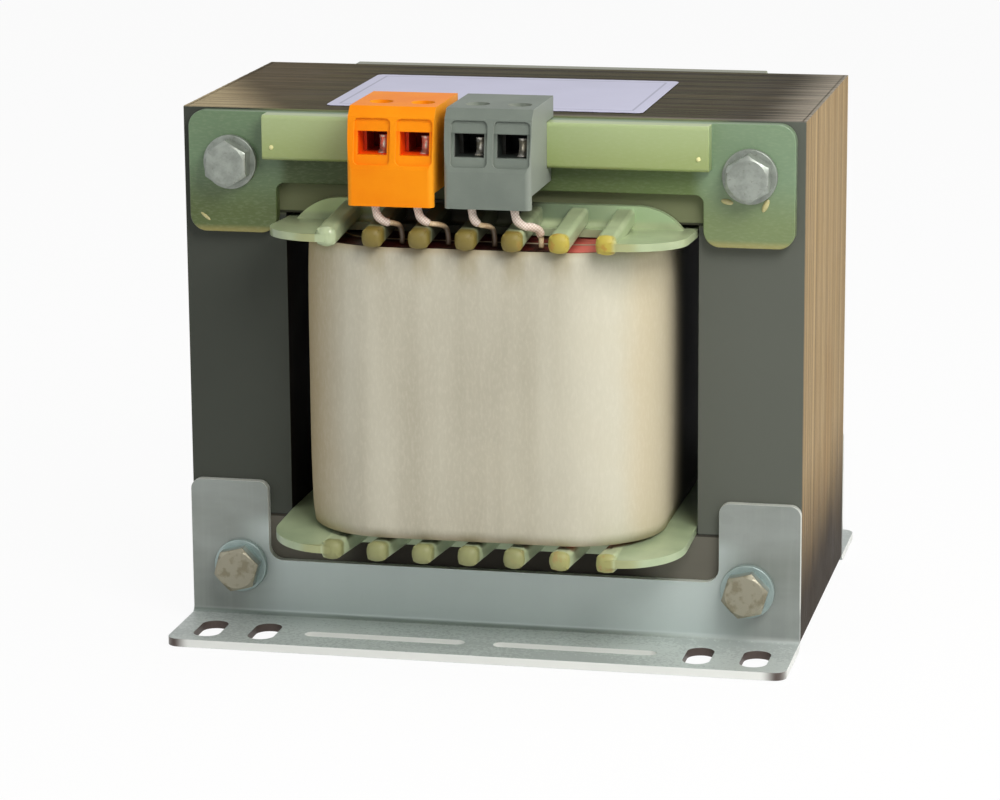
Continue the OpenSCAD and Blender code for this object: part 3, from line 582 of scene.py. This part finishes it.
def lay_floor():
    """Pale bench top that keeps the shadow."""
    reach = 4
    level = -0.3 * mm
    corners = [(x * reach, y * reach, level) for x, y in ((-1, -1), (1, -1), (1, 1), (-1, 1))]
    mesh = bpy.data.meshes.new("bench_top")
    mesh.from_pydata(corners, [], [(0, 1, 2, 3)])
    floor = bpy.data.objects.new("bench_top", mesh)
    bpy.context.scene.collection.objects.link(floor)
    f = finish_for("bench_white")
    share = f.node("Clamp", sockets={"Value": 0.94 * f.ray("Camera") + 0.4 * f.ray("Glossy")})
    matt = f.node("BsdfDiffuse", sockets={"Color": (0.86, 0.86, 0.86, 1)})
    glow = f.node("Emission", sockets={"Color": (1, 1, 1, 1), "Strength": 1})
    f.mixed("OutputMaterial", share, matt, glow)
    mesh.materials.append(f.owner)


# Shapes, each a list of points and a list of faces


def ring_faces(rows, count, closed=False):
    """Faces between rings of points in a row; closed joins the last ring to the first."""
    last = rows if closed else rows - 1
    return [(r * count + k, r * count + (k + 1) % count,
             (r + 1) % rows * count + (k + 1) % count, (r + 1) % rows * count + k)
            for r in range(last) for k in range(count)]


def capped_faces(rows, count):
    """Faces between rings of points in a row, with a cap on the first ring and on the last."""
    last = (rows - 1) * count
    caps = [tuple(range(count)), tuple(last + k for k in reversed(range(count)))]
    return ring_faces(rows, count) + caps


def circle(sides):
    """Cosine and sine of even steps all the way round."""
    angles = [2 * math.pi * k / sides for k in range(sides)]
    return [(math.cos(angle), math.sin(angle)) for angle in angles]


def direction(path, i):
    """Unit vector along a path of points at point i."""
    ahead = Vector(path[min(i + 1, len(path) - 1)])
    behind = Vector(path[max(i - 1, 0)])
    return (ahead - behind).normalized()


def tube(path, radii, sides):
    """Round bar along a path of points, closed at both ends."""
    points = []
    side = Vector((0, 1, 0))
    for i, point in enumerate(path):
        along = direction(path, i)
        side = (side - along * side.dot(along)).normalized()
        other = along.cross(side)
        for c, s in circle(sides):
            points.append(Vector(point) + radii[i] * (side * c + other * s))
    return points, capped_faces(len(path), sides)


def bent_strip(path, left, right, thick):
    """Thin strip, from left to right across X, along a path in Y and Z."""
    points = []
    for i, (y, z) in enumerate(path):
        along = direction(path, i)
        up = Vector((-along.y, along.x)) * thick / 2
        points.extend(((left, y - up.x, z - up.y), (right, y - up.x, z - up.y),
                       (right, y + up.x, z + up.y), (left, y + up.x, z + up.y)))
    return points, capped_faces(len(path), 4)


def box_shape(low, high):
    """Straight bar between two opposite corners."""
    points = list(product(*zip(low, high)))
    faces = [(0, 1, 3, 2), (4, 6, 7, 5), (0, 4, 5, 1), (2, 3, 7, 6), (0, 2, 6, 4), (1, 5, 7, 3)]
    return points, faces


def dome(x, y, z, wide, tall, tilt, height):
    """Low oval drop on an upright face at y, leaning by tilt degrees."""
    rings = 7
    sides = 18
    sunk = 0.05
    smallest = 0.02
    turn = Matrix.Rotation(math.radians(tilt), 2)
    points = []
    for row in range(rings):
        lift = math.pi / 2 * row / (rings - 1)
        for c, s in circle(sides):
            flat = turn @ Vector((wide * c, tall * s)) * max(math.cos(lift), smallest)
            points.append((x + flat.x, y + sunk - height * math.sin(lift), z + flat.y))
    return points, capped_faces(rings, sides)


def bead(x, y, z):
    """Closed drop that clings to a finger's end, squarish and a little uneven."""
    rings = 10
    sides = 18
    half_w = 2.5
    half_l = 1.75
    half_h = 2.36
    power = 2.6
    points = []
    for row in range(rings):
        turn = math.pi * (row + 0.5) / rings
        for c, s in circle(sides):
            fullness = math.sin(turn) / (abs(c) ** power + abs(s) ** power) ** (1 / power)
            lump = fullness * (1 + 0.06 * noise.noise(Vector((x + c, y + turn, z + s))))
            points.append((x + half_w * lump * c, y - half_l * math.cos(turn),
                           z + half_h * lump * s))
    return points, capped_faces(rings, sides)


def joined(shapes):
    """Several shapes as one."""
    points = []
    faces = []
    for shape_points, shape_faces in shapes:
        start = len(points)
        points.extend(shape_points)
        faces.extend(tuple(start + i for i in face) for face in shape_faces)
    return points, faces


def corner_box(half_x, half_y, radius, steps, edge_steps):
    """Rounded rectangle as points and outward directions, counter-clockwise from the right side."""
    outline = []
    for quarter, (sx, sy) in enumerate(((1, 1), (-1, 1), (-1, -1), (1, -1))):
        middle = Vector((sx * (half_x - radius), sy * (half_y - radius)))
        for k in range(steps + 1):
            angle = math.pi / 2 * (quarter + k / steps)
            out = Vector((math.cos(angle), math.sin(angle)))
            outline.append((middle + out * radius, out))
        run = 2 * (half_x - radius) if quarter % 2 == 0 else 2 * (half_y - radius)
        start, out = outline[-1]
        along = Vector((-out.y, out.x))
        for k in range(1, edge_steps):
            outline.append((start + along * run * k / edge_steps, out))
    return outline


def smooth_path(corners, steps=4):
    """Points of a smooth curve through a list of points."""
    corners = [Vector(corner) for corner in corners]
    ends = [corners[0]] + corners + [corners[-1]]
    path = []
    for a, b, c, d in zip(ends, ends[1:], ends[2:], ends[3:]):
        for k in range(steps):
            t = k / steps
            path.append(b + (c - a) * t / 2 + (2 * a - 5 * b + 4 * c - d) * t * t / 2
                        + (3 * b - a - 3 * c + d) * t ** 3 / 2)
    return path + [corners[-1]]


# Pieces


def add_piece(name, points, faces, material, slot, smooth=True):
    """Makes a piece of a shape in millimetres, with a material; the slot argument is not used."""
    mesh = bpy.data.meshes.new(name)
    shape = bmesh.new()
    corners = [shape.verts.new(Vector(point) * mm) for point in points]
    for face in faces:
        shape.faces.new([corners[i] for i in face])
    bmesh.ops.recalc_face_normals(shape, faces=shape.faces)
    for face in shape.faces:
        face.smooth = smooth
    shape.to_mesh(mesh)
    shape.free()
    mesh.materials.append(material)
    piece = bpy.data.objects.new(name, mesh)
    bpy.context.scene.collection.objects.link(piece)
    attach(piece, "root")
    return piece


tube_high = box_of("bobbin_tube")[1]
coil_low, coil_high = box_of("outer_wrap")
core_low, core_high = box_of("core_e_stack")
yoke_low, yoke_high = box_of("core_i_stack")


def coil_outline(depth, steps, edge_steps):
    """Outline of the coil at a depth from the tube's wall, at 0, to the outside, at 1."""
    half_x = tube_high.x + depth * (coil_high.x - tube_high.x)
    half_y = tube_high.y + depth * (coil_high.y - tube_high.y)
    tube_corner = 1.7
    growth = 20.3
    return corner_box(half_x, half_y, tube_corner + depth * growth, steps, edge_steps)


def wrap_coil(material):
    """Paper wrap: a crowned shell with soft creases and slightly uneven ends."""
    rows = 26
    wall = 0.9
    outline = coil_outline(1, steps=12, edge_steps=16)
    count = len(outline)
    middle = (coil_low.z + coil_high.z) / 2
    half = (coil_high.z - coil_low.z) / 2
    outer = []
    inner = []
    for row in range(rows):
        share = 2 * row / (rows - 1) - 1
        height = middle + half * share
        for point, out in outline:
            spot = Vector((point.x * 0.035, point.y * 0.035, height * 0.012))
            crown = 0.4 * (1 - share ** 4) - 0.2 * abs(share) ** 30
            crease = 0.22 * noise.noise(spot) + 0.10 * noise.noise(spot * 3.1)
            edge_spot = Vector((point.x * 0.09, point.y * 0.09, 3 * share))
            ragged = 0.25 * noise.noise(edge_spot) * abs(share) ** 16
            level = height + min(ragged, 0)
            place = point + out * (crown + crease)
            outer.append((place.x, place.y, level))
            hollow = point - out * wall
            inner.append((hollow.x, hollow.y, level))
    shell = outer[:]
    for row in reversed(range(rows)):
        shell.extend(inner[row * count:(row + 1) * count])
    faces = ring_faces(2 * rows, count, closed=True)
    piece = add_piece("paper_wrap", shell, faces, material, "coil_paper")
    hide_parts("outer_wrap")


def lay_end_turns(material):
    """Round wire turns that show at both ends of the two windings, between the fingers."""
    radius = 0.42
    sunk = 0.28
    spacing = 0.052
    sides = 8
    depths = [0.04 + spacing * i for i in range(9)] + [0.585 + spacing * i for i in range(7)]
    shapes = []
    for depth in depths:
        outline = coil_outline(depth, steps=8, edge_steps=3)
        for level in (coil_high.z - sunk, coil_low.z + sunk):
            ring = []
            for point, out in outline:
                for c, s in circle(sides):
                    ring.append((point.x + radius * c * out.x, point.y + radius * c * out.y,
                                 level + radius * s))
            shapes.append((ring, ring_faces(len(outline), sides, closed=True)))
    add_piece("winding_end_turns", *joined(shapes), material, "winding_copper")


# Course of a lead: share of its way to the right, distance back from its start, height over its end
lead_course = (
    (0, 0, 15.85), (0, 0, 11.5), (0.04, -0.2, 8.7), (0.16, -0.3, 6.7), (0.42, 0.3, 5.5),
    (0.7, 1.4, 5.1), (0.93, 2.7, 4.2), (1, 3.3, 2.2), (1, 3.5, 0))


def run_leads(sleeve, wire):
    """Sleeved leads that rest on the fingers, with thin tails that run right into the gaps."""
    lead_radius = 1.3
    sleeve_radius = 0.98
    tail_radius = 0.64
    overlap = 3
    sleeve_ends = {
        "orange_left_lead": 19, "orange_right_lead": 17,
        "grey_left_lead": 16, "grey_right_lead": 28}
    for name, cut in sleeve_ends.items():
        low, high = box_of(name)
        start_x = low.x + lead_radius
        start_y = low.y + lead_radius
        end_x = high.x - lead_radius
        end_z = low.z + 0.15
        path = smooth_path([
            (start_x + share * (end_x - start_x), start_y + back, end_z + height)
            for share, back, height in lead_course])
        radii = [sleeve_radius - 0.04 * math.sin(0.9 * i) for i in range(cut)]
        radii[-1] = 0.85
        piece = add_piece(name + "_sleeve", *tube(path[:cut], radii, 14), sleeve, "lead_sleeve")
        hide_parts(name)
        tail = path[cut - overlap:]
        tail_radii = [tail_radius] * len(tail)
        add_piece(name + "_tail", *tube(tail, tail_radii, 10), wire, "winding_copper")


def stack_sheet_edges(material):
    """Edges of the sheet packs, a hair proud of one another along the sides and the top."""
    order = random.Random(7)
    margin = 0.6
    gap = 0.06
    root_x = 74
    top_x = 74.2
    yoke_levels = (yoke_low.z + 0.2, yoke_high.z - 0.05)
    shapes = []
    y = core_low.y + margin
    while y < core_high.y - margin:
        width = order.choice((0.5, 0.5, 1.0, 1.5))
        proud = order.uniform(0.01, 0.05)
        stop = min(y + width, core_high.y - margin)
        top = core_high.z + proud
        for sign in (-1, 1):
            left, right = sorted((sign * root_x, sign * (core_high.x + proud)))
            for low_z, high_z in (yoke_levels, (core_low.z + 0.05, top)):
                shapes.append(box_shape((left, y, low_z), (right, stop - gap, high_z)))
        shapes.append(box_shape((-top_x, y, core_high.z - 1), (top_x, stop - gap, top)))
        y = stop
    add_piece("sheet_edges", *joined(shapes), material, "core_steel", smooth=False)


def fit_tongues(material):
    """Sprung wire guards that curl up in front of the clamps, at the right of each entry."""
    pole_inset = 3.7
    thick = 0.25
    curl = (
        (-3.2, 0), (-2.2, 0.1), (-1.5, 0.5), (-1.1, 1.2), (-0.9, 2.2), (-1.1, 3.2), (-1.6, 3.9))
    shapes = []
    for name in ("orange_clamps", "grey_clamps"):
        low, high = box_of(name)
        floor = low.z + 1.1
        path = [(low.y + forward, floor + up) for forward, up in curl]
        for pole in (low.x + pole_inset, high.x - pole_inset):
            shapes.append(bent_strip(path, pole + 0.7, pole + 2.6, thick))
    add_piece("wire_guards", *joined(shapes), material, "clamp_metal")


def stick_label(material):
    """Bare rating label with round corners, thin film on the top of the core."""
    outline = corner_box(half_x=38.45, half_y=26.1, radius=1.6, steps=6, edge_steps=8)
    levels = ((-0.3, 127.02), (0, 127.2), (-0.06, 127.3))
    points = []
    for inset, level in levels:
        for point, out in outline:
            points.append((point.x + label_x + out.x * inset,
                           point.y + label_y + out.y * inset, level))
    faces = capped_faces(len(levels), len(outline))
    add_piece("bare_label", points, faces, material, "coil_paper", smooth=False)


def gather_beads(material):
    """Varnish gathered round the fingers' ends, on both flanges and both faces."""
    low, high = box_of("upper_flange")
    upper_z = low.z + 2.45
    lower_z = coil_low.z + coil_high.z - upper_z
    tip_y = high.y - 1.8
    for name, z in (("upper", upper_z), ("lower", lower_z)):
        shapes = [bead(finger_pitch * place, side * tip_y, z)
                  for side in (-1, 1) for place in range(-3, 4)]
        add_piece(name + "_finger_beads", *joined(shapes), material, "former_plastic")


def set_drops(varnish, moulding):
    """Varnish drops from under the upper bolts, a pale smear low on the left plate standing for a
    highlight, and pips near the ends of the front clip bar.
    """
    plate_y = -42
    bar_y = -47
    drops = [
        dome(57.1, plate_y, 108.3, wide=1.5, tall=0.7, tilt=-12, height=0.6),
        dome(66.1, plate_y, 107.6, wide=0.7, tall=1.7, tilt=-24, height=0.6),
        # Painted highlight: this pale smear stands for a glint low on the left plate.
        dome(-69.2, plate_y, 101.0, wide=1.5, tall=0.4, tilt=-38, height=0.3)]
    add_piece("varnish_drops", *joined(drops), varnish, "carrier_plastic")
    pips = [dome(x, bar_y, 118.9, wide=0.6, tall=0.6, tilt=0, height=0.5) for x in (-51.1, 51.1)]
    add_piece("bar_pips", *joined(pips), moulding, "carrier_plastic")


def cut_threads(material):
    """Rolled threads on the bolt tails that stand out of the nuts."""
    rows = 29
    sides = 40
    root_radius = 2.99
    thread_height = 0.22
    for name in ("upper_left", "upper_right", "lower_left", "lower_right"):
        low, high = box_of(name + "_bolt")
        nut_high = box_of(name + "_nut")[1]
        middle_x = (low.x + high.x) / 2
        middle_z = (low.z + high.z) / 2
        start = nut_high.y - 0.4
        length = high.y - start + 0.15
        points = []
        for row in range(rows):
            along = length * row / (rows - 1)
            taper = 0.5 if row == rows - 1 else 0
            for k, (c, s) in enumerate(circle(sides)):
                turn = (along - k / sides) % 1
                radius = root_radius + thread_height * (1 - abs(2 * turn - 1)) - taper
                points.append((middle_x + radius * c, start + along, middle_z + radius * s))
        faces = capped_faces(rows, sides)
        add_piece(name + "_thread", points, faces, material, "zinc_fastener")


def round_edges(node, width):
    """Softens the CAD piece's edges, which no moulding or pressing has sharp."""
    weld = node.modifiers.new("join_corners", "WELD")
    weld.merge_threshold = 0.002 * mm
    flat = node.modifiers.new("clear_flats", "DECIMATE")
    flat.decimate_type = "DISSOLVE"
    flat.angle_limit = math.radians(0.6)
    edge = node.modifiers.new("round_edges", "BEVEL")
    edge.width = width * mm
    edge.segments = 3
    edge.limit_method = "ANGLE"
    edge.angle_limit = math.radians(35)
    edge.harden_normals = True
    even = node.modifiers.new("even_shading", "WEIGHTED_NORMAL")
    even.keep_sharp = True


# Scene

place_camera()
light_studio()
lay_floor()

finishes = {
    "core_steel": lamination_steel(),
    "former_plastic": former_green(),
    "winding_copper": enamelled_copper(),
    "coil_paper": wrap_paper(),
    "carrier_plastic": carrier_green(),
    "bracket_sheet": galvanised_sheet(),
    "zinc_fastener": zinc_plate(),
    "orange_plastic": moulded_plastic(
        "orange_moulding", "orange_block",
        tones=(srgb(240, 132, 4), srgb(246, 146, 10), srgb(252, 168, 40)),
        depths=(srgb(246, 84, 10), srgb(120, 20, 6))),
    "grey_plastic": moulded_plastic(
        "grey_moulding", "grey_block",
        tones=(srgb(112, 120, 112), srgb(122, 130, 121), srgb(146, 152, 143)),
        depths=(srgb(44, 48, 45), srgb(12, 13, 12))),
    "clamp_metal": clamp_plate(),
    "lead_sleeve": woven_sleeve()}

edge_widths = {
    "core_steel": 0.12, "former_plastic": 0.4, "carrier_plastic": 1.1, "bracket_sheet": 0.4,
    "zinc_fastener": 0.2, "orange_plastic": 0.35, "grey_plastic": 0.35, "clamp_metal": 0.1}

for part in frame["record"]["subparts"]:
    node = frame["nodes"][part["node"]]
    node.material_slots[0].material = finishes[part["material_slot"]]
    if part["material_slot"] in edge_widths:
        round_edges(node, edge_widths[part["material_slot"]])

wrap_coil(finishes["coil_paper"])
lay_end_turns(finishes["winding_copper"])
run_leads(finishes["lead_sleeve"], lapped_wire())
fit_tongues(finishes["clamp_metal"])
stack_sheet_edges(finishes["core_steel"])
stick_label(label_film())
gather_beads(finishes["former_plastic"])
set_drops(amber_varnish(), finishes["carrier_plastic"])
cut_threads(finishes["zinc_fastener"])

bpy.context.scene.view_settings.view_transform = "Standard"
